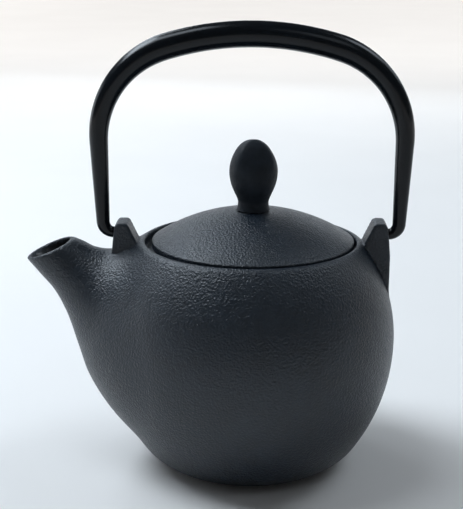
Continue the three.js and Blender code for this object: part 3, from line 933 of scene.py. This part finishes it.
@made_once
def cast_iron():
    """Blue-black baked finish over sand-cast grain about a millimetre across.

    Its colour has larger soft patches, and the grain's tops are painted lighter and its pits darker, as
    painted light and painted shade; the tops are also glossier.
    """
    skin = Shader("cast_iron", Specular_IOR_Level=0.6)
    grain = skin.noise(0.95, 1.5)
    cloud = skin.noise(18, 3.0, 0.55)
    blotch = skin.noise(4)
    patches = skin.math("ADD", skin.math("MULTIPLY", cloud, 0.45), skin.math("MULTIPLY", blotch, 0.25))
    # The grain's share of this colour value is painted light on the grain's tops and painted shade in its
    # pits.
    patches_and_painted_grain_shade = skin.math("ADD", patches, skin.math("MULTIPLY", grain, 0.3))
    slot = "cast_iron_skin"
    dark, middle, light = tint(slot, 0.13, -0.6), tint(slot, 0.18, -0.6), tint(slot, 0.25, -0.5)
    skin.join(skin.colours(patches_and_painted_grain_shade, [(0.36, dark), (0.5, middle), (0.64, light)]), "Base Color")
    rough = skin.math("ADD", skin.spread(blotch, 0.35, 0.42), skin.spread(grain, 0.05, -0.05))
    skin.join(rough, "Roughness")
    swell = skin.bump(skin.noise(6), 0.08, 0.6)
    grained = skin.bump(grain, 0.5, after=swell)
    skin.bump(skin.noise(0.45, 3.0, 0.6), 0.12, after=grained)
    return skin.material


@made_once
def enamel():
    """Dark glassy enamel over the casting's inside, a little wavy."""
    glass = Shader("inner_enamel", Specular_IOR_Level=0.5)
    dark, light = tint("cast_iron_skin", 0.1), tint("cast_iron_skin", 0.18)
    glass.join(glass.colours(glass.noise(9), [(0.35, dark), (0.65, light)]), "Base Color")
    glass.join(glass.spread(glass.noise(3), 0.24, 0.4), "Roughness")
    glass.bump(glass.noise(3.5), 0.12, 0.6)
    return glass.material


@made_once
def bail_paint():
    """Smooth black lacquer on a forged bar: the bar is slightly uneven under the gloss."""
    paint = Shader("bail_lacquer", Specular_IOR_Level=0.3)
    dark, light = tint("bail_paint", 0.15, -0.4), tint("bail_paint", 0.24, -0.4)
    paint.join(paint.colours(paint.noise(12), [(0.35, dark), (0.65, light)]), "Base Color")
    paint.join(paint.spread(paint.noise(5, 3.0, 0.6), 0.17, 0.26), "Roughness")
    uneven = paint.bump(paint.noise(9, 1.0, 0.4), 0.2, 0.5)
    paint.bump(paint.noise(0.5), 0.012, 0.5, after=uneven)
    return paint.material


@made_once
def knob_finish():
    """Satin blue-black, mottled in tone and gloss, over a smoother casting than the pot's."""
    satin = Shader("knob_satin", Specular_IOR_Level=0.17)
    dark, light = tint("knob_enamel", 0.38, -0.15), tint("knob_enamel", 0.54, -0.15)
    satin.join(satin.colours(satin.noise(6), [(0.35, dark), (0.65, light)]), "Base Color")
    satin.join(satin.spread(satin.noise(2.2, 3.0, 0.6), 0.48, 0.6), "Roughness")
    uneven = satin.bump(satin.noise(2), 0.18, 0.8)
    satin.bump(satin.noise(0.5, 2.0, 0.6), 0.06, 0.8, after=uneven)
    return satin.material


@made_once
def stainless(name, slot):
    """Bright steel, brushed along the way it was rolled, with faint dull patches."""
    steel = Shader(name, Metallic=1.0)
    stretched = steel.placed("ShaderNodeMapping", steel.place, Scale=(1, 1, 12))
    lines = steel.noise(2, 2.0, 0.6, at=stretched)
    patches = steel.noise(7)
    dull, bright = tint(slot, 0.86, 0.02), tint(slot, 1.0)
    steel.join(steel.colours(patches, [(0.35, dull), (0.65, bright)]), "Base Color")
    steel.join(steel.math("ADD", steel.spread(lines, 0.16, 0.3), steel.spread(patches, 0, 0.1)), "Roughness")
    steel.bump(lines, 0.01, 0.4)
    return steel.material


# ---------- floor, lights and camera ----------


def table_top():
    """A pale, very slightly mottled floor that the teapot stands on."""
    reach = 14
    mesh = bpy.data.meshes.new("floor")
    corners = [(-reach, -reach, 0), (reach, -reach, 0), (reach, reach, 0), (-reach, reach, 0)]
    mesh.from_pydata(corners, [], [(0, 1, 2, 3)])
    paper = Shader("pale_floor", Roughness=0.75, Specular_IOR_Level=0.2)
    dark, light = (0.93, 0.9, 0.87), (0.95, 0.92, 0.89)
    paper.join(paper.colours(paper.noise(160), [(0.3, dark), (0.7, light)]), "Base Color")
    mesh.materials.append(paper.material)
    floor = bpy.data.objects.new("floor", mesh)
    bpy.context.scene.collection.objects.link(floor)


def softbox(name, place, aim, size, radiance, colour=(1, 1, 1), spread=180):
    """A rectangular soft light of a given brightness, turned to face a point. Its spread is in degrees."""
    light = bpy.data.lights.new(name, "AREA")
    light.shape = "RECTANGLE"
    light.size, light.size_y = size
    light.energy = radiance * math.pi * size[0] * size[1]
    light.color = colour
    light.spread = math.radians(spread)
    lamp = bpy.data.objects.new(name, light)
    lamp.location = place
    lamp.rotation_euler = (Vector(aim) - Vector(place)).to_track_quat("-Z", "Y").to_euler()
    lamp.visible_camera = False
    bpy.context.scene.collection.objects.link(lamp)


# Soft lights round the teapot: name, bearing and height in degrees, size in metres, radiance.
STUDIO_LIGHTS = [
    ("window", 160, 50, (0.75, 0.45), 11),
    ("window_top", 180, 70, (0.45, 0.45), 5.2),
    ("wall_behind", 120, 36, (0.45, 0.45), 3.8),
    ("low_left", 155, 10, (0.45, 0.45), 2),
    ("high_right", 20, 52, (0.5, 0.5), 3.6),
    ("low_right", 30, 32, (0.45, 0.45), 1.6),
    ("rear_wall", 75, 14, (1.6, 0.4), 0.8),
    ("front_right", 300, 50, (0.45, 0.45), 0.9),
]
LIGHT_DISTANCE = 1.3
DAYLIGHT = (0.8, 0.9, 1.0)

# Four more light the far floor on all sides, dimmer on the viewer's. Their beams are too narrow to reach the
# teapot.
FLOOR_LIGHT_DISTANCE = 3.4
FLOOR_LIGHT_HEIGHT = 1.1
FLOOR_LIGHT_SIZE = (4.5, 8)
FLOOR_LIGHT_SPREAD = 90
FLOOR_LIGHT_RADIANCE = 0.9
VIEWER_FLOOR_RADIANCE = 0.6

# A line of sight's product with ROOM_LEAN says where the room fades from bright to dim.
ROOM_LEAN = (0, -0.2, 1)
ROOM_FADE = (-0.08, 0.1)
ROOM_BRIGHT = 0.6
ROOM_DIM = 0.08
ROOM_COLOUR = (0.92, 0.96, 1.0, 1)


def room():
    """A pale room: bright at eye level behind the teapot, dim overhead and on the viewer's side."""
    world = bpy.data.worlds.new("studio")
    world.use_nodes = True
    nodes, links = world.node_tree.nodes, world.node_tree.links
    place = nodes.new("ShaderNodeTexCoord")
    slant = nodes.new("ShaderNodeVectorMath")
    slant.operation = "DOT_PRODUCT"
    slant.inputs[1].default_value = ROOM_LEAN
    links.new(place.outputs["Generated"], slant.inputs[0])
    fade = nodes.new("ShaderNodeMapRange")
    for name, number in zip(RANGE_INPUTS, (*ROOM_FADE, ROOM_BRIGHT, ROOM_DIM)):
        fade.inputs[name].default_value = number
    links.new(slant.outputs["Value"], fade.inputs["Value"])
    links.new(fade.outputs[0], nodes["Background"].inputs["Strength"])
    nodes["Background"].inputs["Color"].default_value = ROOM_COLOUR
    bpy.context.scene.world = world


def lights():
    """The lamps round the teapot and over the far floor, and the room."""
    middle = Vector((0, 0, 0.08))
    for name, bearing, height, size, radiance in STUDIO_LIGHTS:
        bearing, height = math.radians(bearing), math.radians(height)
        level = math.cos(height)
        way = Vector((level * math.cos(bearing), level * math.sin(bearing), math.sin(height)))
        softbox(name, middle + LIGHT_DISTANCE * way, middle, size, radiance, DAYLIGHT)
    for side, way in enumerate([(1, 0), (0, 1), (-1, 0), (0, -1)]):
        x, y = FLOOR_LIGHT_DISTANCE * way[0], FLOOR_LIGHT_DISTANCE * way[1]
        size = FLOOR_LIGHT_SIZE if way[0] else FLOOR_LIGHT_SIZE[::-1]
        radiance = VIEWER_FLOOR_RADIANCE if y < 0 else FLOOR_LIGHT_RADIANCE
        place = (x, y, FLOOR_LIGHT_HEIGHT)
        softbox(f"floor_light_{side}", place, (x, y, 0), size, radiance, spread=FLOOR_LIGHT_SPREAD)
    room()
    bpy.context.scene.view_settings.view_transform = "Standard"


# Fitted to the teapot's outline: place in metres, angles in radians, lens in millimetres.
CAMERA_PLACE = (0, -0.53, 0.245)
CAMERA_PITCH = math.radians(90 - 15.5)
CAMERA_YAW = math.radians(0.942)
CAMERA_ROLL = math.radians(0.261)
CAMERA_LENS = 85.12


def camera():
    """The view of the photo."""
    lens = bpy.data.cameras.new("camera")
    lens.lens = CAMERA_LENS
    lens.sensor_width = 36
    lens.sensor_fit = "AUTO"
    lens.clip_start = 0.05
    lens.clip_end = 60
    eye = bpy.data.objects.new("camera", lens)
    turn = Matrix.Rotation(CAMERA_YAW, 4, "Z") @ Matrix.Rotation(CAMERA_PITCH, 4, "X")
    eye.matrix_world = (
        Matrix.Translation(CAMERA_PLACE) @ turn @ Matrix.Rotation(CAMERA_ROLL, 4, "Z")
    )
    bpy.context.scene.collection.objects.link(eye)
    bpy.context.scene.camera = eye


# ---------- the scene ----------

camera()
lights()
table_top()

pot_body()
bail_handle()
lid_piece()
knob_piece()
washer_piece()
nut_piece()
infuser_rim()
infuser_wall()
infuser_base_ring()
infuser_floor()
